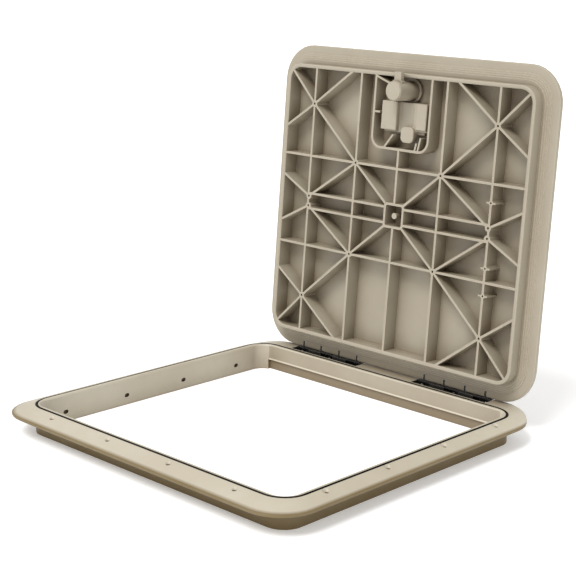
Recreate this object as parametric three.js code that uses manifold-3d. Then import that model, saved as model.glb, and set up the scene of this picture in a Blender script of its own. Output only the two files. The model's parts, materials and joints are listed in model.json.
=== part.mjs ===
// Deck hatch: a moulded flanged frame, and a ribbed lid standing open on two hinges.
// Millimetres. +X runs along the hinge side, +Y points from the latch side to the hinge side, +Z is up.
// The hatch is drawn with its lid closed, then the lid's pieces swing open about the hinge pins.
import * as THREE from "three";
import { mergeVertices } from "three/addons/utils/BufferGeometryUtils.js";
import Module from "manifold-3d";

const wasm = await Module();
wasm.setup();

// ---- driving sizes -------------------------------------------------------------------------
const OUTER = 254; // half the frame's outer width, and from its middle to the latch-side edge
const OUTER_BACK = 240.5; // the hinge-side edge is nearer, and raised to carry the hinges
const OUTER_RADIUS = 50; // plan radius of the frame's and the lid's corners
const BACK_RADIUS = 60; // the frame's two hinge-side corners
const FRAME_HEIGHT = 37; // skirt bottom to the crest beside the gasket
const SEAT_Z = 26; // flange underside, which lies on the deck
const EDGE_Z = 29.5; // top of the flange's thin outer edge
const HINGE_EDGE_RISE = 7.3; // how much higher that edge is along the hinge side
const GASKET_X = 229.5; // gasket centre line, half width
const GASKET_FRONT = -223.5;
const GASKET_BACK = 211.5;
const GASKET_RADIUS = 31;
const WALL_RADIUS = 27; // the skirt's and inner wall's corner, taken at the gasket line
const WALL_INSET = 6.5; // inner wall face, inwards from the gasket line
const LEDGE_Z = 14.5; // underside of the ledge on the latch and hinge walls
const GAP = 0.3; // free gap between pieces that touch in life

// lid, drawn closed
const LID_BACK = 217.5;
const LID_LENGTH = 443.5;
const LID_HALF = 237;
const LIP_Z = 38.6; // lid's lowest outer lip when closed
const SKIN_INSIDE = -4; // depths below the lip: negative is towards the lid's outer face
const SKIN_OUTSIDE = -9;
const RIM_DEPTH = 21;
const RIB_DEPTH = 20;
const RIB = 3;
const BOX_HALF_X = 208.3; // inner face of the lid's box wall
const BOX_HALF_Y = 190;
const BOX_CENTRE = -4;
const BOX_RADIUS = 18;
const BOX_WALL = 5;

// hinges
const PIN_Y = 225;
const PIN_Z = 31.5;
const OPEN_ANGLE = 93.6; // degrees between closed and the open stop
const HINGE_X = 113;
const HINGE_LENGTH = 122;
const KNUCKLE = 2.8; // outer radius
const KNUCKLES = 5; // per hinge, taken in turn by its two leaves
const PIN_RADIUS = 1.5;
const LEAF = 1.6; // leaf thickness
const LEAF_BACK = 234.4; // the frame leaf's back edge
const LEAF_SCREW_Y = 231.4;
const LID_LEAF_TOP = LIP_Z + 7.6;
const LID_SCREW_Z = LIP_Z + 4.6;
const FINGER_HALF = 1.3; // the lid leaf's fingers
const FINGER_REACH = 8;
const SCREW_SPAN = 54; // from a leaf's middle screw to each end one
const POCKET_FLOOR = 28.4; // the frame leaf's pocket
const POCKET_STEP = 34.4; // the shallower part behind it

// latch
const BARREL_V = 171.5; // latch barrel axis, from the lid box's centre towards the free edge
const BARREL_RADIUS = 13.2;
const BARREL_DEPTH = 42;
const BOLT_HALF = 8;
const BOLT_TIP_HALF = 5.6;
const BOLT_TOP = 27; // bolt's near and far faces, as depths below the lip
const BOLT_BOTTOM = 34;
const BOLT_TIP = 197.5;
const BOLT_THROW = 8;
const CRANK = BOLT_THROW / 2 / Math.sin(Math.PI / 4); // a quarter turn gives the throw
const KEEPER_HALF = 30;
const KEEPER_LOW = 13;
const KEEPER_PLATE = 2.2;
const KEEPER_SCREW_Z = 25;

// ---- colours -------------------------------------------------------------------------------
const paint = (color, roughness, metalness = 0) =>
  new THREE.MeshStandardMaterial({ color, roughness, metalness });
const beige = paint(0xb9ad9a, 0.5);
const rubber = paint(0x17150f, 0.75);
const blackPlastic = paint(0x161614, 0.35);
const steel = paint(0xb8b8b4, 0.3, 1);

// ---- solids --------------------------------------------------------------------------------
function solid(geometry) {
  const bare = geometry.index ? geometry.toNonIndexed() : geometry.clone();
  bare.deleteAttribute("normal");
  bare.deleteAttribute("uv");
  const welded = mergeVertices(bare, 1e-4);
  return new wasm.Manifold(
    new wasm.Mesh({
      numProp: 3,
      vertProperties: welded.attributes.position.array,
      triVerts: new Uint32Array(welded.index.array),
    }),
  );
}

function toGeometry(manifold) {
  const mesh = manifold.getMesh();
  return new THREE.BufferGeometry()
    .setAttribute("position", new THREE.BufferAttribute(mesh.vertProperties, 3))
    .setIndex(new THREE.BufferAttribute(mesh.triVerts, 1));
}

const join = (parts) => parts.reduce((sum, part) => sum.add(part));
const cut = (body, tools) => tools.reduce((rest, tool) => rest.subtract(tool), body);

function block([x0, x1], [y0, y1], [z0, z1]) {
  const box = new THREE.BoxGeometry(x1 - x0, y1 - y0, z1 - z0);
  return solid(box.translate((x0 + x1) / 2, (y0 + y1) / 2, (z0 + z1) / 2));
}

// A round bar between two points.
function rod(radius, from, to, sides = 16) {
  const a = new THREE.Vector3(...from);
  const along = new THREE.Vector3(...to).sub(a);
  const bar = new THREE.CylinderGeometry(radius, radius, along.length(), sides);
  const turn = new THREE.Quaternion().setFromUnitVectors(
    new THREE.Vector3(0, 1, 0),
    along.clone().normalize(),
  );
  return solid(
    bar.applyQuaternion(turn).translate(...a.addScaledVector(along, 0.5).toArray()),
  );
}

// The outline of a rounded rectangle in plan, as a shape.
function roundedShape([x0, x1], [y0, y1], r) {
  const shape = new THREE.Shape();
  shape.moveTo(x1, y0 + r);
  shape.absarc(x1 - r, y1 - r, r, 0, Math.PI / 2);
  shape.absarc(x0 + r, y1 - r, r, Math.PI / 2, Math.PI);
  shape.absarc(x0 + r, y0 + r, r, Math.PI, 1.5 * Math.PI);
  shape.absarc(x1 - r, y0 + r, r, 1.5 * Math.PI, 2 * Math.PI);
  return shape;
}

function extrude(shape, [z0, z1], curveSegments = 5) {
  const options = { depth: z1 - z0, bevelEnabled: false, curveSegments };
  return solid(new THREE.ExtrudeGeometry(shape, options).translate(0, 0, z0));
}

// ---- lofts through rounded rectangles ------------------------------------------------------
const CORNER_STEPS = 8;

// One rounded rectangle. Its back side lies higher by `rise`, and the back corners climb to it.

function loop({ x, front, back, radius, backRadius = radius, z, rise = 0 }) {
  const points = [];
  const corners = [
    [x - backRadius, back - backRadius, backRadius],
    [-x + backRadius, back - backRadius, backRadius],
    [-x + radius, front + radius, radius],
    [x - radius, front + radius, radius],
  ];
  corners.forEach(([cx, cy, r], quarter) => {
    for (let i = 0; i <= CORNER_STEPS; i++) {
      const angle = ((quarter + i / CORNER_STEPS) * Math.PI) / 2;
      const lift = rise * Math.max(0, Math.sin(angle)) ** 2;
      points.push([cx + r * Math.cos(angle), cy + r * Math.sin(angle), z + lift]);
    }
  });
  return points;
}

// Joins loops of equal length into a skin. A ring's last loop meets its first;
// otherwise flat caps close the first and the last loop.
function loft(loops, ring) {
  const rows = loops.map(loop);
  const around = rows[0].length;
  const points = rows.flat();
  const index = [];
  const steps = ring ? rows.length : rows.length - 1;
  for (let row = 0; row < steps; row++) {
    for (let i = 0; i < around; i++) {
      const j = (i + 1) % around;
      const [a, b] = [row * around, ((row + 1) % rows.length) * around];
      index.push(a + i, a + j, b + j, a + i, b + j, b + i);
    }
  }
  if (!ring) {
    const last = (rows.length - 1) * around;
    for (let i = 1; i < around - 1; i++) {
      index.push(0, i + 1, i, last, last + i, last + i + 1);
    }
  }
  const skin = new THREE.BufferGeometry().setIndex(index);
  skin.setAttribute("position", new THREE.Float32BufferAttribute(points.flat(), 3));
  return solid(skin);
}

// ---- frame ---------------------------------------------------------------------------------
const outerLoop = (inset, z, rise = 0) => ({
  x: OUTER - inset,
  front: -OUTER + inset,
  back: OUTER_BACK - inset,
  radius: OUTER_RADIUS - inset,
  backRadius: BACK_RADIUS - inset,
  z,
  rise,
});
const gasketLoop = (offset, z, radius = GASKET_RADIUS) => ({
  x: GASKET_X + offset,
  front: GASKET_FRONT - offset,
  back: GASKET_BACK + offset,
  radius: radius + offset,
  z,
});
const wallLoop = (offset, z) => gasketLoop(offset, z, WALL_RADIUS);

const GROOVE = 1.9; // half the gasket groove's width
const GROOVE_Z = 33;
const SKIRT_INSET = 0.5;
const FRONT_HOLE_Y = -OUTER + 20; // deck screw holes along the latch side
const FRONT_HOLES = [-163, -54.4, 54.4, 163];
const SIDE_HOLE_X = OUTER - 17;
const SIDE_HOLES = [-165, -58.5, 48, 154.5];
const WALL_SLOTS = [-165.6, -60.9, 43.8, 148.5]; // recesses in the side walls
const WALL_SLOT_Z = 13.3;
const WALL_SLOT = 2.8;
const DECK_HOLE = 2.7;
const COUNTERSINK_Z = 33.7;
const POCKET_FRONT = GASKET_BACK + 5.3;

const hingeSpan = (side, margin = 0) => [
  side * HINGE_X - HINGE_LENGTH / 2 - margin,
  side * HINGE_X + HINGE_LENGTH / 2 + margin,
];

// A through hole with a 45 degree countersink from COUNTERSINK_Z up.
function deckScrewHole(x, y) {
  const depth = 4;
  const sink = new THREE.CylinderGeometry(DECK_HOLE + depth, DECK_HOLE, depth, 16);
  const cone = solid(sink.rotateX(Math.PI / 2).translate(x, y, COUNTERSINK_Z + depth / 2));
  return join([cone, rod(DECK_HOLE, [x, y, SEAT_Z - 2], [x, y, COUNTERSINK_Z + 1])]);
}

function deckScrewHoles() {
  const front = FRONT_HOLES.map((x) => deckScrewHole(x, FRONT_HOLE_Y));
  const sides = [-1, 1].flatMap((side) => SIDE_HOLES.map((y) => deckScrewHole(side * SIDE_HOLE_X, y)));
  return [...front, ...sides];
}

// A short recess in a side wall's inner face, longer than it is high, with a thin closed floor.
function wallSlot(side, y) {
  const across = [side * (GASKET_X - 12), side * (GASKET_X - 2.5)].sort((a, b) => a - b);
  const ends = [y - WALL_SLOT / 2, y + WALL_SLOT / 2];
  const [from, to] = across;
  const rounds = ends.map((at) => rod(WALL_SLOT, [from, at, WALL_SLOT_Z], [to, at, WALL_SLOT_Z], 12));
  return join([...rounds, block(across, ends, [WALL_SLOT_Z - WALL_SLOT, WALL_SLOT_Z + WALL_SLOT])]);
}

const wallSlots = () => [-1, 1].flatMap((side) => WALL_SLOTS.map((y) => wallSlot(side, y)));

function keeperScrewHoles() {
  const [outside, inside] = [GASKET_FRONT - 6, GASKET_FRONT + 14];
  const z = KEEPER_SCREW_Z;
  return keeperScrews().map((x) => rod(1.5, [x, outside, z], [x, inside, z], 10));
}

// The frame leaf lies in the deep part, and the open lid leaf swings down over the shallow one.
function hingePockets() {
  return [-1, 1].flatMap((side) => {
    const span = hingeSpan(side, 2);
    return [
      block(span, [POCKET_FRONT, LEAF_BACK + 0.6], [POCKET_FLOOR, FRAME_HEIGHT + 5]),
      block(span, [LEAF_BACK, OUTER_BACK + 5], [POCKET_STEP, FRAME_HEIGHT + 5]),
    ];
  });
}

// Below the ledge the latch wall and the hinge wall step back, from just inside each corner.
function ledgeUndercuts() {
  const half = GASKET_X - WALL_RADIUS + 8;
  const depth = 3;
  const [front, back] = [GASKET_FRONT + WALL_INSET, GASKET_BACK - WALL_INSET];
  return [
    block([-half, half], [front - depth, front + 5], [-1, LEDGE_Z]),
    block([-half, half], [back - 5, back + depth], [-1, LEDGE_Z]),
  ];
}

function frame() {
  const ring = loft(
    [
      outerLoop(0.8, SEAT_Z),
      outerLoop(0, SEAT_Z + 0.8),
      outerLoop(0, EDGE_Z - 0.6, HINGE_EDGE_RISE),
      outerLoop(1.2, EDGE_Z + 0.3, HINGE_EDGE_RISE),
      gasketLoop(GROOVE + 1.6, FRAME_HEIGHT),
      gasketLoop(GROOVE, FRAME_HEIGHT),
      gasketLoop(GROOVE, GROOVE_Z),
      gasketLoop(-GROOVE, GROOVE_Z),
      gasketLoop(-GROOVE, FRAME_HEIGHT + 0.3),
      wallLoop(-WALL_INSET + 1.6, FRAME_HEIGHT + 0.3),
      wallLoop(-WALL_INSET, FRAME_HEIGHT - 1.5),
      wallLoop(-WALL_INSET, 0),
      wallLoop(-SKIRT_INSET, 0),
      wallLoop(-SKIRT_INSET, SEAT_Z),
    ],
    true,
  );
  const hingeScrewHoles = [-1, 1].flatMap((side) =>
    hingeScrews(side).map((x) =>
      rod(1.7, [x, LEAF_SCREW_Y, SEAT_Z - 1], [x, LEAF_SCREW_Y, POCKET_FLOOR + 1], 10),
    ),
  );
  return cut(ring, [
    ...hingePockets(),
    ...ledgeUndercuts(),
    ...deckScrewHoles(),
    ...wallSlots(),
    ...hingeScrewHoles,
    ...keeperScrewHoles(),
  ]);
}

function frameGasket() {
  const half = GROOVE - GAP;
  return loft(
    [
      gasketLoop(half, GROOVE_Z + GAP),
      gasketLoop(half, FRAME_HEIGHT),
      gasketLoop(half * 0.5, FRAME_HEIGHT + 1),
      gasketLoop(-half * 0.5, FRAME_HEIGHT + 1),
      gasketLoop(-half, FRAME_HEIGHT),
      gasketLoop(-half, GROOVE_Z + GAP),
    ],
    true,
  );
}

// ---- keeper: the bolt slides under its tongue ----------------------------------------------
const keeperScrews = () => [-20, 20];

function keeper() {
  const wall = GASKET_FRONT + WALL_INSET + GAP;
  const across = [-KEEPER_HALF, KEEPER_HALF];
  const plate = block(across, [wall, wall + KEEPER_PLATE], [KEEPER_LOW, KEEPER_LOW + 18]);
  const tongue = block(across, [wall, wall + 11.4], [KEEPER_LOW, KEEPER_LOW + 3]);
  const z = KEEPER_SCREW_Z;
  const holes = keeperScrews().map((x) => rod(1.8, [x, wall - 2, z], [x, wall + 5, z]));
  return cut(join([plate, tongue]), holes);
}

function keeperScrew(x) {
  const face = GASKET_FRONT + WALL_INSET + 2 * GAP + KEEPER_PLATE;
  return screw([x, face, KEEPER_SCREW_Z], [0, 1, 0], { head: 3, shank: 1.2, length: 6.5 });
}

// A dome-headed screw: the head starts at `at` and stands out along `out`; the shank runs back.
function screw(at, out, { head, shank, length, height = 1.2 }) {
  const profile = [
    [0, -length],
    [shank, -length],
    [shank, 0],
    [head, 0],
    [head, height * 0.4],
    [head * 0.6, height * 0.9],
    [0, height],
  ].map(([r, y]) => new THREE.Vector2(r, y));
  const turn = new THREE.Quaternion().setFromUnitVectors(
    new THREE.Vector3(0, 1, 0),
    new THREE.Vector3(...out),
  );
  return solid(new THREE.LatheGeometry(profile, 12).applyQuaternion(turn).translate(...at));
}

// ---- lid -----------------------------------------------------------------------------------
// u runs along X and v from the box's centre towards the free edge; depth is below the lip.
const lidY = (v) => BOX_CENTRE - v;
const depthZ = (depth) => LIP_Z - depth;

const lidLoop = (inset, depth) => ({
  x: LID_HALF - inset,
  front: LID_BACK - LID_LENGTH + inset,
  back: LID_BACK - inset,
  radius: OUTER_RADIUS - inset,
  z: depthZ(depth),
});
const boxLoop = (offset, depth) => ({
  x: BOX_HALF_X + offset,
  front: BOX_CENTRE - BOX_HALF_Y - offset,
  back: BOX_CENTRE + BOX_HALF_Y + offset,
  radius: BOX_RADIUS + offset,
  z: depthZ(depth),
});

const STEP_COUNT = 4; // fine steps in the band, rising towards the box wall
const STEP_RISE = 0.9;
const STEP_FIRST = 20.5; // inset of the step beside the box wall
const STEP_PITCH = 2.8;

function bandSteps() {
  const loops = [];
  for (let step = STEP_COUNT; step > 0; step--) {
    const inset = STEP_FIRST - (STEP_COUNT - step) * STEP_PITCH;
    loops.push(lidLoop(inset, step * STEP_RISE), lidLoop(inset - 0.4, (step - 1) * STEP_RISE));
  }
  return loops;
}

const shell = () =>
  loft(
    [
      boxLoop(0, SKIN_INSIDE),
      boxLoop(0, RIM_DEPTH - 1),
      boxLoop(1.5, RIM_DEPTH),
      boxLoop(BOX_WALL - 0.8, RIM_DEPTH),
      boxLoop(BOX_WALL, RIM_DEPTH - 0.8),
      boxLoop(BOX_WALL, STEP_COUNT * STEP_RISE),
      ...bandSteps(),
      lidLoop(2.5, 0),
      lidLoop(0.7, -0.7),
      lidLoop(0, -2.5),
      lidLoop(0, -4.5),
      lidLoop(0.9, -6.6),
      lidLoop(3, -7.7),
      lidLoop(6.5, -8.1),
      lidLoop(45, SKIN_OUTSIDE),
    ],
    false,
  );

// A straight rib standing on the skin between two points of the lid.
function rib([u0, v0], [u1, v1], depth = RIB_DEPTH, width = RIB) {
  const length = Math.hypot(u1 - u0, v1 - v0);
  const height = depth - SKIN_INSIDE + 1;
  const bar = new THREE.BoxGeometry(length, width, height);
  bar.rotateZ(Math.atan2(lidY(v1) - lidY(v0), u1 - u0));
  return solid(
    bar.translate((u0 + u1) / 2, (lidY(v0) + lidY(v1)) / 2, depthZ(depth) + height / 2),
  );
}

const lidRod = (radius, [u, v], [from, to], sides = 16) =>
  rod(radius, [u, lidY(v), depthZ(from)], [u, lidY(v), depthZ(to)], sides);
const lidBlock = ([u0, u1], [v0, v1], [from, to]) =>
  block([u0, u1], [lidY(v1), lidY(v0)], [depthZ(to), depthZ(from)]);

const STAR = [159, 140]; // the four outer rib crossings
const KNOT = [74.5, 65]; // the four inner ones
const FLANK = [158, 7]; // the pairs on each side of the middle
const CORE = 17.3; // half the square box in the middle
const WALL_U = BOX_HALF_X + 1;
const WALL_V = BOX_HALF_Y + 1;
const POCKET_HALF = 50; // latch pocket
const POCKET_END = 90;

function quarterRibs(su, sv) {
  const at = ([u, v]) => [su * u, sv * v];
  return [
    rib(at(STAR), at([203.5, 184.5])),
    rib(at(STAR), at([WALL_U, 105])),
    rib(at(STAR), at([92, WALL_V])),
    rib(at(STAR), at(KNOT)),
    rib(at(KNOT), at([CORE - 1, CORE - 1])),
    rib(at(KNOT), at(FLANK)),
    rib(at(FLANK), at([WALL_U, 34])),
    rib(at([CORE - 1, 11]), at([STAR[0], 11])),
  ];
}

function straightRibs() {
  const across = [-KNOT[1], KNOT[1]].map((v) => rib([-WALL_U, v], [WALL_U, v]));
  const along = [-1, 1].flatMap((su) =>
    [STAR[0], KNOT[0]].map((u) => rib([su * u, -WALL_V], [su * u, WALL_V])),
  );
  const middle = [rib([0, CORE - 1], [0, POCKET_END + 1]), rib([0, 1 - CORE], [0, -WALL_V])];
  return [...across, ...along, ...middle];
}

function latchPocketWall() {
  const [end, top] = [POCKET_END, WALL_V];
  const r = 17;
  const outline = (inset) => [
    [-POCKET_HALF + inset, POCKET_HALF - inset],
    [lidY(top + 20 - inset), lidY(end + inset)],
    r - inset,
  ];
  const wall = roundedShape(...outline(0));
  wall.holes.push(roundedShape(...outline(RIB)));
  const tube = extrude(wall, [depthZ(RIB_DEPTH), depthZ(SKIN_INSIDE - 1)]);
  return cut(tube, [lidBlock([-60, 60], [top, top + 40], [-20, 40])]);
}

const latchPocketRibs = () => [
  rib([-49, 189], [-18, 178], RIB_DEPTH, 2.4),
  rib([-49, 140], [-38, 140], RIB_DEPTH, 2.4),
  rib([-12, 111], [-27, 91], RIB_DEPTH, 2.4),
  rib([29.5, 103], [27, 91], RIB_DEPTH, 2.4),
  rib([36, 111], [32, 91], RIB_DEPTH, 2.4),
];

const mirrored = ([u, v]) => [-1, 1].flatMap((su) => [-1, 1].map((sv) => [su * u, sv * v]));
const crossings = () => [STAR, KNOT, FLANK].flatMap(mirrored);
const smallBosses = () => [40, -46.5, -83].map((v) => [STAR[0], v]);

function coreBox() {
  const shape = roundedShape([-CORE, CORE], [BOX_CENTRE - CORE, BOX_CENTRE + CORE], 4);
  const inner = CORE - RIB;
  shape.holes.push(
    roundedShape([-inner, inner], [BOX_CENTRE - inner, BOX_CENTRE + inner], 2.5),
  );
  return extrude(shape, [depthZ(RIB_DEPTH), depthZ(SKIN_INSIDE - 1)], 3);
}

const CUP = { u: [-36, 36], v: [113.5, 157] }; // hole in the skin for the pull cup
const KNOB_RADIUS = 12.4;
const KNOB_SEAT = SKIN_OUTSIDE + 2.9; // inner face of the knob's disc
const KNOB_RECESS = KNOB_RADIUS + 0.8;

function lid() {
  const body = join([
    shell(),
    ...[-1, 1].flatMap((su) => [-1, 1].flatMap((sv) => quarterRibs(su, sv))),
    ...straightRibs(),
    ...crossings().map((at) => lidRod(4.6, at, [SKIN_INSIDE - 1, RIB_DEPTH], 12)),
    ...smallBosses().map((at) => lidRod(3.4, at, [SKIN_INSIDE - 1, RIB_DEPTH], 10)),
    ...smallBosses().map(([u, v]) => rib([u - 7, v], [u + 7, v], RIB_DEPTH, 2)),
    coreBox(),
    lidRod(4.2, [0, 0], [SKIN_INSIDE - 1, RIB_DEPTH - 2], 12),
    latchPocketWall(),
    ...latchPocketRibs(),
  ]);
  const bossHoles = crossings().map((at) => lidRod(1.8, at, [RIB_DEPTH - 10, RIB_DEPTH + 2], 8));
  const smallHoles = smallBosses().map((at) => lidRod(1.5, at, [RIB_DEPTH - 8, RIB_DEPTH + 2], 8));
  const leafScrewHoles = [-1, 1].flatMap((side) =>
    hingeScrews(side).map((x) =>
      rod(1.5, [x, LID_BACK - 12, LID_SCREW_Z], [x, LID_BACK + 2, LID_SCREW_Z], 8),
    ),
  );
  const slotHalf = FINGER_HALF + 0.4;
  const slotEnd = LID_BACK - FINGER_REACH - 0.5;
  const fingerSlots = [-1, 1].flatMap((side) =>
    fingerX(side).map((x) =>
      block([x - slotHalf, x + slotHalf], [slotEnd, LID_BACK + 2], [LIP_Z - 2, LIP_Z + 1.8]),
    ),
  );
  return cut(body, [
    ...bossHoles,
    ...smallHoles,
    ...leafScrewHoles,
    ...fingerSlots,
    lidBlock(CUP.u, CUP.v, [-20, 5]),
    lidRod(KNOB_RECESS, [0, BARREL_V], [-20, SKIN_OUTSIDE + 3.2], 24),
    lidRod(5.5, [0, BARREL_V], [-20, 5]),
  ]);
}

// ---- hinges --------------------------------------------------------------------------------
const hingeScrews = (side) => [-SCREW_SPAN, 0, SCREW_SPAN].map((dx) => side * HINGE_X + dx);
const fingerX = (side) => [-52, -18, 17, 51].map((dx) => side * HINGE_X + dx);

// Every second knuckle along the pin, starting at `first`, as tubes not yet bored.
function knuckles(side, first) {
  const pitch = HINGE_LENGTH / KNUCKLES;
  const spans = [];
  for (let i = first; i < KNUCKLES; i += 2) {
    const start = hingeSpan(side)[0] + i * pitch;
    spans.push([start + GAP / 2, start + pitch - GAP / 2]);
  }
  return spans;
}

const knuckleTube = ([x0, x1]) => rod(KNUCKLE, [x0, PIN_Y, PIN_Z], [x1, PIN_Y, PIN_Z]);
const pinBore = (side) => {
  const [x0, x1] = hingeSpan(side, 2);
  return rod(PIN_RADIUS + 0.2, [x0, PIN_Y, PIN_Z], [x1, PIN_Y, PIN_Z], 12);
};

function frameLeaf(side) {
  const bottom = PIN_Z - KNUCKLE;
  const clear = KNUCKLE + 0.5;
  const parts = knuckles(side, 0).flatMap((span) => [
    knuckleTube(span),
    block(span, [PIN_Y, PIN_Y + clear + 1], [bottom, bottom + LEAF]),
  ]);
  parts.push(block(hingeSpan(side), [PIN_Y + clear, LEAF_BACK], [bottom, bottom + LEAF]));
  const holes = hingeScrews(side).map((x) =>
    rod(1.8, [x, LEAF_SCREW_Y, bottom - 1], [x, LEAF_SCREW_Y, bottom + LEAF + 1]),
  );
  return cut(join(parts), [pinBore(side), ...holes]);
}

// The lid leaf stands against the lid's back edge, with four fingers let into its underside.
function lidLeaf(side) {
  const face = LID_BACK + GAP;
  const low = PIN_Z + KNUCKLE + 0.5;
  const parts = knuckles(side, 1).flatMap((span) => [
    knuckleTube(span),
    block(span, [face, face + LEAF], [PIN_Z, low + 1]),
    block(span, [face, PIN_Y], [PIN_Z - 0.8, PIN_Z + 0.8]),
  ]);
  parts.push(block(hingeSpan(side), [face, face + LEAF], [low, LID_LEAF_TOP]));
  fingerX(side).forEach((x) => {
    const across = [x - FINGER_HALF, x + FINGER_HALF];
    parts.push(block(across, [LID_BACK - FINGER_REACH, face + 0.5], [LIP_Z, LIP_Z + 1.4]));
  });
  const holes = hingeScrews(side).map((x) =>
    rod(1.6, [x, face - 1, LID_SCREW_Z], [x, face + 4, LID_SCREW_Z], 12),
  );
  return cut(join(parts), [pinBore(side), ...holes]);
}

function hingePin(side) {
  const [x0, x1] = hingeSpan(side);
  return rod(PIN_RADIUS, [x0 + 0.5, PIN_Y, PIN_Z], [x1 - 0.5, PIN_Y, PIN_Z], 12);
}

const frameLeafScrew = (x) =>
  screw([x, LEAF_SCREW_Y, PIN_Z - KNUCKLE + LEAF + GAP / 2], [0, 0, 1], {
    head: 2.4,
    shank: 1.4,
    length: 3.8,
  });
const lidLeafScrew = (x) =>
  screw([x, LID_BACK + GAP + LEAF + GAP / 2, LID_SCREW_Z], [0, 1, 0], {
    head: 2.7,
    shank: 1.2,
    length: 11,
  });

// ---- latch ---------------------------------------------------------------------------------
const CUP_CLEAR = 0.5;
const PULL_V = 150.3; // pull handle's pin
const PULL_DEPTH = -8.4;
const PULL_HALF = 31;
const PULL_REACH = 33; // from its pin to its free edge
const PULL_BAR = 8; // width of the handle's bar

// Open towards the lid's outer face; its back is stepped, with a rounded block below the middle.
function pullCup() {
  const [u0, u1] = [CUP.u[0] + CUP_CLEAR, CUP.u[1] - CUP_CLEAR];
  const [v0, v1] = [CUP.v[0] + CUP_CLEAR, CUP.v[1] - CUP_CLEAR];
  const top = SKIN_OUTSIDE - GAP;
  const body = join([
    lidBlock([u0, u1], [v0, v1], [top, 11]),
    lidBlock([u0 - 4.5, u1 + 4.5], [v0 - 4, v1 + 1.3], [top - 1.5, top]),
    lidBlock([u0, -9], [v0 + 3, v1], [10, 19]),
    lidBlock([17, u1 + 6], [v0 + 4, v1], [10, 14.5]),
    lidBlock([24, u1 + 6], [v0 + 7, v1], [14, 18]),
    extrude(roundedShape([1, 23], [lidY(124), lidY(102)], 7), [depthZ(20), depthZ(10)]),
  ]);
  return cut(body, [
    lidBlock([u0 + 2.5, u1 - 2.5], [v0 + 2.5, v1 - 2.5], [top - 5, 8.5]),
    rod(1.8, [u0 - 1, lidY(PULL_V), depthZ(PULL_DEPTH)], [u1 + 1, lidY(PULL_V), depthZ(PULL_DEPTH)], 12),
  ]);
}

// A flat D-shaped pull that folds flush into the cup.
function pullHandle() {
  const [near, far] = [PULL_V - PULL_REACH, PULL_V + 1];
  const [inner, bottom, top] = [PULL_HALF - PULL_BAR, near + PULL_BAR, far - PULL_BAR];
  const outline = roundedShape([-PULL_HALF, PULL_HALF], [lidY(far), lidY(near)], 9);
  outline.holes.push(roundedShape([-inner, inner], [lidY(top), lidY(bottom)], 6));
  const plate = extrude(outline, [depthZ(PULL_DEPTH + 2), depthZ(PULL_DEPTH - 2)], 4);
  const [axisY, axisZ] = [lidY(PULL_V), depthZ(PULL_DEPTH)];
  const tube = rod(2.9, [-PULL_HALF, axisY, axisZ], [PULL_HALF, axisY, axisZ]);
  return cut(join([plate, tube]), [rod(1.8, [-40, axisY, axisZ], [40, axisY, axisZ], 12)]);
}

function pullPin() {
  const [axisY, axisZ] = [lidY(PULL_V), depthZ(PULL_DEPTH)];
  return rod(1.5, [-34.8, axisY, axisZ], [34.8, axisY, axisZ], 12);
}

// A fixed barrel whose slot guides the bolt; the spindle turns inside it.
function latchBarrel() {
  const base = SKIN_INSIDE + GAP;
  const body = join([
    lidRod(BARREL_RADIUS, [0, BARREL_V], [base, BARREL_DEPTH - 1.2], 32),
    lidRod(BARREL_RADIUS - 1.2, [0, BARREL_V], [base, BARREL_DEPTH], 32),
  ]);
  const side = BOLT_HALF + GAP;
  return cut(body, [
    lidRod(8, [0, BARREL_V], [base - 1, BOLT_TOP], 20),
    lidBlock([-side, side], [BARREL_V - 8.6, BARREL_V + 30], [BOLT_TOP - GAP, BOLT_BOTTOM + GAP]),
  ]);
}

function barrelRing() {
  const [from, to] = [SKIN_INSIDE + GAP, SKIN_INSIDE + 5];
  const ring = lidRod(16.8, [0, BARREL_V], [from, to], 28);
  return cut(ring, [
    lidRod(BARREL_RADIUS + GAP, [0, BARREL_V], [from - 1, to + 1], 28),
    lidBlock([-20, 20], [BARREL_V - 30, CUP.v[1] + 0.2], [-20, 20]),
  ]);
}

function latchBolt() {
  const rear = BARREL_V - BOLT_THROW / 2 - 4.2;
  const bar = lidBlock([-BOLT_HALF, BOLT_HALF], [rear, BOLT_TIP], [BOLT_TOP, BOLT_BOTTOM]);
  const notchV = BARREL_V - BOLT_THROW / 2;
  const notch = lidBlock([1.8, BOLT_HALF + 1], [notchV - 1.9, notchV + 1.9], [20, 40]);
  const shoulders = [-1, 1].map((side) => {
    const across = [side * BOLT_TIP_HALF, side * (BOLT_HALF + 1)].sort((a, b) => a - b);
    return lidBlock(across, [BARREL_V + BARREL_RADIUS + 1, BOLT_TIP + 1], [20, 40]);
  });
  const bevel = new THREE.BoxGeometry(2 * BOLT_HALF + 2, 8, 8).rotateX(Math.PI / 4);
  const nose = solid(bevel.translate(0, lidY(BOLT_TIP + 2.6), depthZ(BOLT_BOTTOM + 2.6)));
  return cut(bar, [notch, ...shoulders, nose]);
}

// The spindle's crank pin drives the bolt's notch across a quarter turn.
function latchSpindle() {
  const angle = -Math.PI / 4;
  const crank = [CRANK * Math.cos(angle), BARREL_V + CRANK * Math.sin(angle)];
  const shaft = lidRod(4.5, [0, BARREL_V], [KNOB_SEAT + GAP, BOLT_TOP - 1.5]);
  const web = lidRod(7.4, [0, BARREL_V], [BOLT_TOP - 4.5, BOLT_TOP - 0.8], 20);
  const pin = lidRod(1.4, crank, [BOLT_TOP - 2, BOLT_BOTTOM - 1], 12);
  return cut(join([shaft, web, pin]), [lidRod(1.7, [0, BARREL_V], [-20, 4], 10)]);
}

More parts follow.
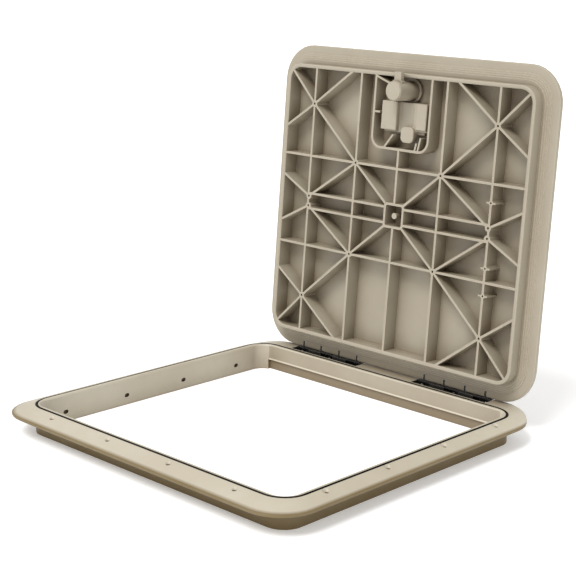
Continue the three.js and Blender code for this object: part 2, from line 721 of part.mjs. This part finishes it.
function latchKnob() {
  const disc = lidRod(KNOB_RADIUS, [0, BARREL_V], [SKIN_OUTSIDE - 0.4, KNOB_SEAT], 24);
  const grip = lidBlock([-10, 10], [BARREL_V - 3.5, BARREL_V + 3.5], [SKIN_OUTSIDE - 5.5, SKIN_OUTSIDE]);
  return cut(join([disc, grip]), [
    lidRod(1.8, [0, BARREL_V], [-30, 5], 12),
    lidRod(3, [0, BARREL_V], [-30, SKIN_OUTSIDE - 3], 12),
  ]);
}

const knobScrew = () =>
  screw([0, lidY(BARREL_V), depthZ(SKIN_OUTSIDE - 3 - GAP / 2)], [0, 0, 1], {
    head: 2.7,
    shank: 1.4,
    length: 13,
  });

// ---- assembly ------------------------------------------------------------------------------
const hatch = new THREE.Group();
const swung = new THREE.Group();
swung.position.set(0, PIN_Y, PIN_Z);
swung.rotation.x = THREE.MathUtils.degToRad(-OPEN_ANGLE);
hatch.add(swung);

function fixed(name, body, material) {
  const mesh = new THREE.Mesh(toGeometry(body), material);
  mesh.name = name;
  hatch.add(mesh);
}

function onLid(name, body, material) {
  const mesh = new THREE.Mesh(toGeometry(body), material);
  mesh.name = name;
  mesh.position.set(0, -PIN_Y, -PIN_Z);
  swung.add(mesh);
}

fixed("frame", frame(), beige);
fixed("frame_gasket", frameGasket(), rubber);
fixed("keeper", keeper(), steel);
keeperScrews().forEach((x, i) => fixed(`keeper_screw_${i + 1}`, keeperScrew(x), steel));

onLid("lid", lid(), beige);
for (const [hand, side] of [["left", -1], ["right", 1]]) {
  fixed(`hinge_${hand}_frame_leaf`, frameLeaf(side), blackPlastic);
  fixed(`hinge_${hand}_pin`, hingePin(side), steel);
  onLid(`hinge_${hand}_lid_leaf`, lidLeaf(side), blackPlastic);
  hingeScrews(side).forEach((x, i) => {
    fixed(`hinge_${hand}_frame_screw_${i + 1}`, frameLeafScrew(x), steel);
    onLid(`hinge_${hand}_lid_screw_${i + 1}`, lidLeafScrew(x), steel);
  });
}
onLid("pull_cup", pullCup(), beige);
onLid("pull_handle", pullHandle(), beige);
onLid("pull_pin", pullPin(), steel);
onLid("latch_barrel", latchBarrel(), beige);
onLid("barrel_ring", barrelRing(), beige);
onLid("latch_bolt", latchBolt(), beige);
onLid("latch_spindle", latchSpindle(), steel);
onLid("latch_knob", latchKnob(), beige);
onLid("knob_screw", knobScrew(), steel);

// The origin is the middle of the whole hatch's footprint, at the skirt's bottom edge.
const extent = new THREE.Box3().setFromObject(hatch, true);
hatch.position.set(0, -(extent.min.y + extent.max.y) / 2, -extent.min.z);

export default hatch;
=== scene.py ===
"""A moulded deck hatch standing with its lid open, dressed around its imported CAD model."""

import json
import math

import bmesh
import bpy
from mathutils import Matrix, Vector

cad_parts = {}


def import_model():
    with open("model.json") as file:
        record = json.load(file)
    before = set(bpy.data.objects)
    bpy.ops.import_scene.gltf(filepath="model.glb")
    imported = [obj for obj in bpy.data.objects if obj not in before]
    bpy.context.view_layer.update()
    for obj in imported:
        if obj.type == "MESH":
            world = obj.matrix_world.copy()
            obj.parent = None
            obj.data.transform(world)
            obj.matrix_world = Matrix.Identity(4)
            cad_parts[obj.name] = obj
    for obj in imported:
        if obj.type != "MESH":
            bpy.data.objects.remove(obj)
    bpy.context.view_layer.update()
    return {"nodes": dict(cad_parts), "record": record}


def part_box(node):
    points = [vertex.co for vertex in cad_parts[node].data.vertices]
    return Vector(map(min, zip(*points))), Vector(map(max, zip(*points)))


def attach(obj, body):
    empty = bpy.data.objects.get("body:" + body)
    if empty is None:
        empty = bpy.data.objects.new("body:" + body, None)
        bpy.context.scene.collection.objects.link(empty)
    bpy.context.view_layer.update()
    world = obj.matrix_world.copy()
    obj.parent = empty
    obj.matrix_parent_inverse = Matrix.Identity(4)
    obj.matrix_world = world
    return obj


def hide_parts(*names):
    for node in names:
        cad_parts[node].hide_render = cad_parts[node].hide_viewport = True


MM = 0.001

# ---- the frame ------------------------------------------------------------------------------

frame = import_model()
NODES = frame["nodes"]
SLOTS = {part["node"]: part["material_slot"] for part in frame["record"]["subparts"]}
JOINTS = {joint["name"]: joint for joint in frame["record"]["behaviour"]["joints"]}
HINGE = JOINTS["lid_hinge"]
LEAN = math.radians(HINGE["range_deg"][1] - 90)  # how far past upright the lid stands

LID_UP = Vector((0, math.sin(LEAN), math.cos(LEAN)))  # from the hinges to the lid's free edge
RIGHT = Vector((1, 0, 0))
UP = Vector((0, 0, 1))

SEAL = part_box("frame_gasket")
SEAL_HALF = 1.6 * MM
SEAL_CORNER = 31 * MM  # plan radius of the seal's centre line
WALL_INSET = 6.5 * MM  # from the seal's centre line to the inner wall's face
WALL_X = SEAL[1].x - SEAL_HALF - WALL_INSET  # the side walls' inner faces
WALL_Y = SEAL[1].y - SEAL_HALF - WALL_INSET  # the hinge side's inner wall
LEDGE_Z = 14.5 * MM  # underside of the ledge along the hinge wall
FRAME_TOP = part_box("frame")[1].z
FRAME_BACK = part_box("frame")[1].y


# ---- procedural materials -------------------------------------------------------------------


class Graph:
    """A material's node tree, with one short call per kind of node."""

    def __init__(self, name):
        self.material = bpy.data.materials.new(name)
        self.material.use_nodes = True
        self.tree = self.material.node_tree
        self.shader = self.tree.nodes["Principled BSDF"]
        self.place = self.add("ShaderNodeTexCoord").outputs["Object"]

    def add(self, kind, **settings):
        node = self.tree.nodes.new(kind)
        for key, value in settings.items():
            setattr(node, key, value)
        return node

    def link(self, source, target):
        self.tree.links.new(source, target)

    def noise(self, size, detail=3.0, stretch=(1, 1, 1)):
        """Noise whose features are about `size` metres across."""
        mapping = self.add("ShaderNodeMapping")
        mapping.inputs["Scale"].default_value = [1 / (size * s) for s in stretch]
        texture = self.add("ShaderNodeTexNoise")
        texture.inputs["Scale"].default_value = 1.0
        texture.inputs["Detail"].default_value = detail
        self.link(self.place, mapping.inputs["Vector"])
        self.link(mapping.outputs["Vector"], texture.inputs["Vector"])
        return texture.outputs["Fac"]

    def remap(self, value, low, high, to_low=0.0, to_high=1.0):
        node = self.add("ShaderNodeMapRange")
        node.inputs["From Min"].default_value = low
        node.inputs["From Max"].default_value = high
        node.inputs["To Min"].default_value = to_low
        node.inputs["To Max"].default_value = to_high
        self.link(value, node.inputs["Value"])
        return node.outputs["Result"]

    def mix(self, amount, first, second, blend="MIX"):
        """Mixes two colours, each a socket or a plain colour."""
        node = self.add("ShaderNodeMix", data_type="RGBA", blend_type=blend)
        for socket, value in ((node.inputs[0], amount), (node.inputs[6], first), (node.inputs[7], second)):
            if isinstance(value, bpy.types.NodeSocket):
                self.link(value, socket)
            elif isinstance(value, (int, float)):
                socket.default_value = value
            else:
                socket.default_value = (*value, 1)
        return node.outputs[2]

    def edges(self, radius):
        """1 on edges sharper than `radius`, 0 on flat faces."""
        rounded = self.add("ShaderNodeBevel", samples=4)
        rounded.inputs["Radius"].default_value = radius
        flat = self.add("ShaderNodeNewGeometry")
        dot = self.add("ShaderNodeVectorMath", operation="DOT_PRODUCT")
        self.link(rounded.outputs["Normal"], dot.inputs[0])
        self.link(flat.outputs["Normal"], dot.inputs[1])
        return self.remap(dot.outputs["Value"], 0.97, 0.8)

    def openness(self, distance):
        """1 in the open and 0 deep in a corner."""
        node = self.add("ShaderNodeAmbientOcclusion", samples=8)
        node.inputs["Distance"].default_value = distance
        return node.outputs["AO"]

    def math(self, operation, first, second):
        node = self.add("ShaderNodeMath", operation=operation)
        for socket, value in zip(node.inputs, (first, second)):
            if isinstance(value, bpy.types.NodeSocket):
                self.link(value, socket)
            else:
                socket.default_value = value
        return node.outputs[0]

    def outer_side_below(self, height):
        """1 on upright faces that look away from the middle, below `height` metres; 0 elsewhere."""
        normal = self.tree.nodes.new("ShaderNodeTexCoord").outputs["Normal"]
        flat = []
        for vector in (self.place, normal):
            level = self.add("ShaderNodeVectorMath", operation="MULTIPLY")
            level.inputs[1].default_value = (1, 1, 0)
            self.link(vector, level.inputs[0])
            unit = self.add("ShaderNodeVectorMath", operation="NORMALIZE")
            self.link(level.outputs[0], unit.inputs[0])
            flat.append(unit.outputs[0])
        facing = self.add("ShaderNodeVectorMath", operation="DOT_PRODUCT")
        self.link(flat[0], facing.inputs[0])
        self.link(flat[1], facing.inputs[1])
        split = self.add("ShaderNodeSeparateXYZ")
        self.link(self.place, split.inputs[0])
        low = self.remap(split.outputs["Z"], height, height - 1.5 * MM)
        return self.math("MULTIPLY", self.remap(facing.outputs["Value"], 0.1, 0.5), low)

    def within(self, low, high, soft=0.3 * MM):
        """1 inside the box between two corners, fading to 0 over `soft` metres outside it."""
        split = self.add("ShaderNodeSeparateXYZ")
        self.link(self.place, split.inputs[0])
        inside = 1.0
        for axis, start, end in zip("XYZ", low, high):
            value = split.outputs[axis]
            inside = self.math("MULTIPLY", inside, self.remap(value, start - soft, start))
            inside = self.math("MULTIPLY", inside, self.remap(value, end + soft, end))
        return inside

    def bump(self, *layers):
        """Adds (height, depth in metres) layers on top of each other."""
        below = None
        for height, depth in layers:
            node = self.add("ShaderNodeBump")
            node.inputs["Strength"].default_value = 1.0
            node.inputs["Distance"].default_value = depth
            self.link(height, node.inputs["Height"])
            if below is not None:
                self.link(below, node.inputs["Normal"])
            below = node.outputs["Normal"]
        self.link(below, self.shader.inputs["Normal"])


# Painted shade: the skirt under the flange and the flange's outer edge are darkened brown.
SKIRT_SHADE = (0.124, 0.077, 0.01)
SHADE_TOP = FRAME_TOP * 0.835  # how far up the outer sides the painted shade reaches

# Painted shade inside the side walls' slots.
SLOT_SHADE = (0.11, 0.085, 0.06)
SLOT_DEPTH = 4 * MM
SLOT_BAND = (9 * MM, 18 * MM)  # the slots lie between these heights
SLOT_ENDS = 40 * MM  # and at least this far inside the seal's ends

# Painted shadow in the hinge pockets, under and behind the hinge leaves.
POCKET_SHADOW = (0.012, 0.011, 0.01)
POCKET_SIDE = 2.1 * MM  # how far the painted shadow goes past each end of a hinge
POCKET_FRONT = 8 * MM  # how far it goes in front of one
POCKET_TOP = SEAL[1].z - 1.6 * MM


def shade_skirt(g, colour):
    """The skirt and the flange's outer edge, darkened brown by painted shade, the shade under the flange.
    """
    shaded_sides = g.outer_side_below(SHADE_TOP)
    patchy = g.remap(g.noise(50 * MM), 0.2, 0.8, 0.82, 0.94)
    return g.mix(g.math("MULTIPLY", shaded_sides, patchy), colour, SKIRT_SHADE)


def hinge_wall(g, colour, recess, edge_highlight):
    """The inner wall under the hinges: darker above, a painted highlight along its ledge, painted shade
    below it in the undercut.
    """
    # Where each band starts and ends behind the wall's face, its heights, its strength and colour.
    bands = (
        # darker over the wall's face above the ledge
        (-MM, 1.2 * MM, LEDGE_Z, FRAME_TOP - 1.5 * MM, 0.38, recess),
        # painted highlight along the ledge
        (-MM, 0.5 * MM, LEDGE_Z, LEDGE_Z + 2.2 * MM, 0.7, edge_highlight),
        # painted shade in the undercut below the ledge
        (MM, 4 * MM, -MM, LEDGE_Z, 0.75, recess),
    )
    for front, back, bottom, top, amount, paint in bands:
        band = g.within((-WALL_X, WALL_Y + front, bottom), (WALL_X, WALL_Y + back, top))
        colour = g.mix(g.math("MULTIPLY", band, amount), colour, paint)
    return colour


def wall_slots(g, colour, side):
    """Painted shade inside the slots in one side wall."""
    mouth = WALL_X + 0.4 * MM
    left, right = sorted((side * mouth, side * (mouth + SLOT_DEPTH)))
    low = (left, SEAL[0].y + SLOT_ENDS, SLOT_BAND[0])
    high = (right, SEAL[1].y - SLOT_ENDS, SLOT_BAND[1])
    return g.mix(g.math("MULTIPLY", g.within(low, high), 0.8), colour, SLOT_SHADE)


def hinge_pocket(g, colour, hand):
    """Painted shadow, near black, in the pocket around and behind one hinge."""
    low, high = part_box(f"hinge_{hand}_frame_leaf")
    near = (low.x - POCKET_SIDE, low.y - POCKET_FRONT, low.z)
    far = (high.x + POCKET_SIDE, FRAME_BACK - MM, POCKET_TOP)
    return g.mix(g.within(near, far), colour, POCKET_SHADOW)


def frame_light_paint(g, colour, recess, edge_highlight):
    """Everything coloured on the frame alone: painted shade and a painted highlight."""
    colour = shade_skirt(g, colour)
    colour = hinge_wall(g, colour, recess, edge_highlight)
    for hand, side in (("left", -1), ("right", 1)):
        colour = wall_slots(g, colour, side)
        colour = hinge_pocket(g, colour, hand)
    return colour


def moulded_plastic(name, light, dark, recess, depth, highlight_gain, light_paint=None):
    """Satin moulded plastic: soft mottling, fine grain, a painted highlight on sharp edges up to
    `highlight_gain` times as pale, and painted shade along inner corners and in recesses up to `depth`
    metres deep. `light_paint` adds more painted light and shade."""
    g = Graph(name)
    mottled = g.mix(g.remap(g.noise(90 * MM, 4), 0.35, 0.65), light, dark)
    clouded = g.mix(g.remap(g.noise(12 * MM, 2), 0.3, 0.7, 0, 0.35), mottled, dark)
    # Painted shade in recesses and along inner corners, from ambient occlusion.
    shaded = g.mix(g.remap(g.openness(depth), 0.0, 0.8, 1, 0), clouded, recess)
    lined = g.mix(g.remap(g.openness(3 * MM), 0.3, 0.9, 0.85, 0), shaded, recess)
    # Painted highlight on sharp edges, as pale as the light colour times highlight_gain.
    edge_highlight = [min(1, channel * highlight_gain) for channel in light]
    colour = g.mix(g.remap(g.edges(0.9 * MM), 0, 1, 0, 0.75), lined, edge_highlight)
    if light_paint:
        colour = light_paint(g, colour, recess, edge_highlight)
    g.link(colour, g.shader.inputs["Base Color"])
    g.link(g.remap(g.noise(20 * MM, 5), 0.3, 0.7, 0.36, 0.52), g.shader.inputs["Roughness"])
    g.bump((g.noise(30 * MM, 2), 0.4 * MM), (g.noise(0.8 * MM, 2), 0.04 * MM))
    return g.material


def seal_rubber():
    g = Graph("seal_rubber")
    base = g.mix(g.remap(g.noise(20 * MM, 4), 0.3, 0.7), (0.004, 0.004, 0.003), (0.012, 0.011, 0.009))
    g.link(base, g.shader.inputs["Base Color"])
    g.link(g.remap(g.noise(5 * MM, 4), 0.3, 0.7, 0.55, 0.75), g.shader.inputs["Roughness"])
    g.shader.inputs["Specular IOR Level"].default_value = 0.12
    g.bump((g.noise(1.5 * MM, 4), 0.12 * MM))
    return g.material


def black_plastic():
    g = Graph("hinge_black")
    base = g.mix(g.remap(g.noise(15 * MM, 4), 0.3, 0.7), (0.008, 0.008, 0.008), (0.02, 0.019, 0.018))
    # Painted highlight: the hinge's edges are made pale grey.
    lit_edges = g.mix(g.remap(g.edges(0.6 * MM), 0, 1, 0, 0.8), base, (0.27, 0.26, 0.24))
    g.link(lit_edges, g.shader.inputs["Base Color"])
    g.link(g.remap(g.noise(6 * MM, 5), 0.3, 0.7, 0.18, 0.36), g.shader.inputs["Roughness"])
    g.bump((g.noise(1.2 * MM, 3), 0.05 * MM))
    return g.material


def stainless():
    g = Graph("stainless")
    g.shader.inputs["Metallic"].default_value = 1.0
    base = g.mix(g.remap(g.noise(4 * MM, 4), 0.3, 0.7), (0.60, 0.60, 0.58), (0.76, 0.76, 0.74))
    g.link(base, g.shader.inputs["Base Color"])
    g.link(g.remap(g.noise(2 * MM, 3, (1, 8, 1)), 0.3, 0.7, 0.2, 0.38), g.shader.inputs["Roughness"])
    g.bump((g.noise(0.6 * MM, 2, (1, 10, 1)), 0.02 * MM))
    return g.material


# The lid and the frame are one beige plastic; the lid's copy is painted darker and the frame's lighter:
# painted shade and painted light.
LID_BEIGE = moulded_plastic(
    "lid_moulding",
    light=(0.36, 0.318, 0.246),
    dark=(0.325, 0.285, 0.215),
    recess=(0.18, 0.137, 0.085),
    depth=30 * MM,
    highlight_gain=1.95,
)
FRAME_BEIGE = moulded_plastic(
    "frame_moulding",
    light=(0.50, 0.455, 0.36),
    dark=(0.45, 0.40, 0.31),
    recess=(0.13, 0.085, 0.036),
    depth=50 * MM,
    highlight_gain=1.3,
    light_paint=frame_light_paint,
)
RUBBER = seal_rubber()
BLACK = black_plastic()
STEEL = stainless()
FINISH = {
    "beige_plastic": LID_BEIGE,
    "gasket_rubber": RUBBER,
    "black_plastic": BLACK,
    "steel": STEEL,
}


# ---- softening the CAD nodes ----------------------------------------------------------------


def soften(node, width, segments=2):
    """Rounds a CAD node's sharp edges with modifiers, and shades it smoothly."""
    weld = node.modifiers.new("weld", "WELD")
    weld.merge_threshold = 0.01 * MM
    bevel = node.modifiers.new("round_edges", "BEVEL")
    bevel.width = width
    bevel.segments = segments
    bevel.limit_method = "ANGLE"
    bevel.angle_limit = math.radians(32)
    bevel.use_clamp_overlap = True
    bevel.miter_outer = "MITER_ARC"
    normals = node.modifiers.new("even_normals", "WEIGHTED_NORMAL")
    normals.keep_sharp = True
    for polygon in node.data.polygons:
        polygon.use_smooth = True


def melt(node, voxel, passes):
    """Blends a CAD node's edges into each other, like the hidden side of a thick moulding."""
    blend = node.modifiers.new("blend", "REMESH")
    blend.mode = "VOXEL"
    blend.voxel_size = voxel
    blend.use_smooth_shade = True
    smooth = node.modifiers.new("smooth", "SMOOTH")
    smooth.factor = 0.5
    smooth.iterations = passes


def dress_nodes():
    """Gives every CAD node its material and softened edges."""
    for name, node in NODES.items():
        node.data.materials.clear()
        node.data.materials.append(FRAME_BEIGE if name == "frame" else FINISH[SLOTS[name]])
        low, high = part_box(name)
        thinnest = min(high - low)
        if name == "pull_cup":
            melt(node, voxel=0.8 * MM, passes=14)
        elif name == "latch_barrel":
            soften(node, 1.2 * MM, segments=4)
        else:
            soften(node, min(0.5 * MM, thinnest * 0.08))


dress_nodes()


# ---- pieces built finer than the CAD --------------------------------------------------------


def new_piece(name, mesh, body, node, material):
    """Makes the finished bmesh a piece that stands for a CAD node and rides on its body."""
    bmesh.ops.recalc_face_normals(mesh, faces=mesh.faces)
    data = bpy.data.meshes.new(name)
    mesh.to_mesh(data)
    mesh.free()
    for polygon in data.polygons:
        polygon.use_smooth = True
    data.materials.append(material)
    piece = bpy.data.objects.new(name, data)
    bpy.context.scene.collection.objects.link(piece)
    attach(piece, body)
    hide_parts(node)


def rounded_loop(low, high, radius, steps=24):
    """Points and outward directions around a rounded rectangle in plan, anticlockwise."""
    left, right = low.x + radius, high.x - radius
    front, back = low.y + radius, high.y - radius
    inner = ((right, back), (left, back), (left, front), (right, front))
    points = []
    for quarter, (x, y) in enumerate(inner):
        for i in range(steps + 1):
            angle = (quarter + i / steps) * math.pi / 2
            out = Vector((math.cos(angle), math.sin(angle), 0))
            points.append((Vector((x, y, 0)) + out * radius, out))
    return points


def join_loops(mesh, loops):
    """Joins closed loops of vertices with quads; the last loop meets the first."""
    for first, second in zip(loops, loops[1:] + loops[:1]):
        for i in range(len(first)):
            j = (i + 1) % len(first)
            mesh.faces.new((first[i], first[j], second[j], second[i]))


SEAL_SWELL = 0.3 * MM  # how far the soft bulb fills the gap beside it
SEAL_DIP = 2 * MM  # how much lower the bulb lies at the seal's left edge
SEAL_SLOPE = 0.3 * SEAL_CORNER  # it comes back up over this distance from that edge
BULB_STEPS = 10


def seal_dip(x):
    """How much lower than elsewhere the bulb lies at `x`."""
    share = (SEAL[0].x - x) / SEAL_SLOPE + 1
    return min(1, max(0, share)) * SEAL_DIP


def seal():
    """The rubber loop: a round bulb on a flat root, swept around the frame's groove."""
    low, high = SEAL
    inset = Vector((SEAL_HALF, SEAL_HALF, 0))
    path = rounded_loop(low + inset, high - inset, SEAL_CORNER)
    bulb = SEAL_HALF + SEAL_SWELL
    section = [(-bulb, low.z), (bulb, low.z)]
    for i in range(BULB_STEPS + 1):
        angle = i / BULB_STEPS * math.pi
        section.append((bulb * math.cos(angle), high.z - bulb * (1 - math.sin(angle))))
    mesh = bmesh.new()
    loops = []
    for offset, z in section:
        loop = []
        for point, out in path:
            height = min(z, max(low.z + MM, z - seal_dip(point.x)))
            loop.append(mesh.verts.new(point + out * offset + UP * height))
        loops.append(loop)
    join_loops(mesh, loops)
    new_piece("seal_loop", mesh, "frame_body", "frame_gasket", RUBBER)


def box_mesh(mesh, size, centre):
    """Adds a box to a bmesh."""
    placed = Matrix.Translation(centre) @ Matrix.Diagonal((*size, 1))
    bmesh.ops.create_cube(mesh, size=1, matrix=placed)


def subtract(body, tool):
    """The first bmesh with the second cut out of it, as a new bmesh."""
    objects = []
    for mesh in (body, tool):
        bmesh.ops.recalc_face_normals(mesh, faces=mesh.faces)
        data = bpy.data.meshes.new("cut")
        mesh.to_mesh(data)
        mesh.free()
        obj = bpy.data.objects.new("cut", data)
        bpy.context.scene.collection.objects.link(obj)
        objects.append(obj)
    cut = objects[0].modifiers.new("cut", "BOOLEAN")
    cut.operation = "DIFFERENCE"
    cut.solver = "EXACT"
    cut.use_self = True
    cut.object = objects[1]
    bpy.context.view_layer.update()
    result = bmesh.new()
    result.from_object(objects[0], bpy.context.evaluated_depsgraph_get())
    for obj in objects:
        bpy.data.objects.remove(obj)
    return result


SCREW_SIDES = 28
CAD_DOME = 0.45  # about how high a CAD screw's head is, as a share of its radius
CROSS_LONG, CROSS_WIDE = 1.15, 0.24  # the cross recess, in the same way
# The pan head's outline, as shares of its radius and height, from the top down.
SCREW_DOME = ((0.3, 1.0), (0.55, 0.94), (0.75, 0.82), (0.9, 0.62), (0.98, 0.36), (1.0, 0.1), (0.97, 0.0))


def turned(outline):
    """A solid turned about Z from (radius, height) points, with a flat cap at each end."""
    mesh = bmesh.new()
    rings = []
    for radius, z in outline:
        ring = []
        for i in range(SCREW_SIDES):
            angle = 2 * math.pi * i / SCREW_SIDES
            ring.append(mesh.verts.new((radius * math.cos(angle), radius * math.sin(angle), z)))
        rings.append(ring)
    for first, second in zip(rings, rings[1:]):
        for i in range(SCREW_SIDES):
            j = (i + 1) % SCREW_SIDES
            mesh.faces.new((first[i], second[i], second[j], first[j]))
    mesh.faces.new(rings[0])
    mesh.faces.new(rings[-1][::-1])
    return mesh


def screw_body(head, height, length):
    """A pan head on a shank, standing on Z with the head's underside at 0, with a cross recess."""
    shank = head * 0.5
    outline = [(r * head, z * height) for r, z in SCREW_DOME]
    outline += [(shank, 0.0), (shank, head * 0.4 - length), (shank * 0.5, -length)]
    mesh = turned(outline)
    recess = bmesh.new()
    for across, along in ((CROSS_LONG, CROSS_WIDE), (CROSS_WIDE, CROSS_LONG)):
        box_mesh(recess, (across * head, along * head, height), (0, 0, height))
    return subtract(mesh, recess)


def screw(node, out, body, dome=CAD_DOME):
    """A detailed screw in the place of a CAD screw whose head faces along `out`; the head is
    `dome` times as high as its radius."""
    low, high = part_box(node)
    head = (high.x - low.x) / 2
    axis = max(range(3), key=lambda i: abs(out[i]))
    # A tilted screw's box is longer than the screw by the slant of its head.
    span = (high - low)[axis] - 2 * head * math.sqrt(1 - min(1, out[axis] ** 2))
    total = span / abs(out[axis])
    seat_height = head * CAD_DOME
    mesh = screw_body(head, head * dome, total - seat_height)
    seat = (low + high) / 2 + out * (total / 2 - seat_height)
    turn = Matrix((RIGHT, out.cross(RIGHT), out)).transposed().to_4x4()
    mesh.transform(Matrix.Translation(seat) @ turn)
    new_piece(node + "_pan_head", mesh, body, node, STEEL)


def screws():
    """Pan-head screws for the keeper and for both leaves of both hinges."""
    for i in (1, 2):
        screw(f"keeper_screw_{i}", Vector((0, 1, 0)), "frame_body")
    for hand in ("left", "right"):
        for i in (1, 2, 3):
            screw(f"hinge_{hand}_frame_screw_{i}", UP, "frame_body", dome=1.1)
            screw(f"hinge_{hand}_lid_screw_{i}", -LID_UP, "lid_body")


seal()
screws()


# ---- stage ----------------------------------------------------------------------------------


FLOOR_HALF = 40  # metres from the middle to each side
FLOOR_GAP = 0.2 * MM  # below the hatch, so that no two faces share a plane
FLOOR_GLOW = 0.3  # keeps the floor pale under soft light


def floor():
    mesh = bmesh.new()
    bmesh.ops.create_grid(mesh, x_segments=8, y_segments=8, size=FLOOR_HALF)
    data = bpy.data.meshes.new("floor")
    mesh.to_mesh(data)
    mesh.free()
    obj = bpy.data.objects.new("floor", data)
    bpy.context.scene.collection.objects.link(obj)
    obj.location.z = -FLOOR_GAP
    g = Graph("pale_floor")
    g.link(g.mix(g.noise(500 * MM, 2), (0.86, 0.86, 0.86), (0.9, 0.9, 0.9)), g.shader.inputs["Base Color"])
    g.shader.inputs["Roughness"].default_value = 0.9
    g.shader.inputs["Specular IOR Level"].default_value = 0.1
    g.shader.inputs["Emission Color"].default_value = (1, 1, 1, 1)
    g.shader.inputs["Emission Strength"].default_value = FLOOR_GLOW
    data.materials.append(g.material)


def sun(name, direction, strength, spread):
    """A soft far light that shines from `direction` and looks `spread` degrees wide."""
    light = bpy.data.lights.new(name, "SUN")
    light.energy = strength
    light.angle = math.radians(spread)
    obj = bpy.data.objects.new(name, light)
    obj.rotation_euler = Vector(direction).to_track_quat("Z", "Y").to_euler()
    bpy.context.scene.collection.objects.link(obj)


def world(strength):
    sky = bpy.data.worlds.new("studio")
    sky.use_nodes = True
    background = sky.node_tree.nodes["Background"]
    background.inputs["Color"].default_value = (1, 1, 1, 1)
    background.inputs["Strength"].default_value = strength
    bpy.context.scene.world = sky


CAMERA_AZIMUTH = 43.04
CAMERA_ELEVATION = 12.24
CAMERA_ROLL = 1.37
CAMERA_DISTANCE = 1.7775
CAMERA_SENSOR = 36  # millimetres wide
CAMERA_FOCUS = 88.34  # focal length in millimetres
CAMERA_SHIFT = (-0.0044, -0.058)
CAMERA_TARGET = Vector((0.016, -0.0042, 0.2409))


def camera():
    turned_by, raised, roll = (math.radians(v) for v in (CAMERA_AZIMUTH, CAMERA_ELEVATION, CAMERA_ROLL))
    ahead = math.cos(raised)
    forward = Vector((-math.sin(turned_by) * ahead, math.cos(turned_by) * ahead, -math.sin(raised)))
    right = forward.cross(UP).normalized()
    up = right.cross(forward)
    data = bpy.data.cameras.new("camera")
    data.lens = CAMERA_FOCUS
    data.sensor_width = CAMERA_SENSOR
    data.shift_x, data.shift_y = CAMERA_SHIFT
    data.clip_end = 200
    obj = bpy.data.objects.new("camera", data)
    tilt_right = right * math.cos(roll) + up * math.sin(roll)
    tilt_up = up * math.cos(roll) - right * math.sin(roll)
    turn = Matrix((tilt_right, tilt_up, -forward)).transposed()
    obj.matrix_world = Matrix.Translation(CAMERA_TARGET - forward * CAMERA_DISTANCE) @ turn.to_4x4()
    bpy.context.scene.collection.objects.link(obj)
    bpy.context.scene.camera = obj


floor()
world(strength=0.76)
sun("key", direction=(0.05, -0.7, 1.0), strength=2.3, spread=25)
camera()
bpy.context.scene.view_settings.view_transform = "Standard"
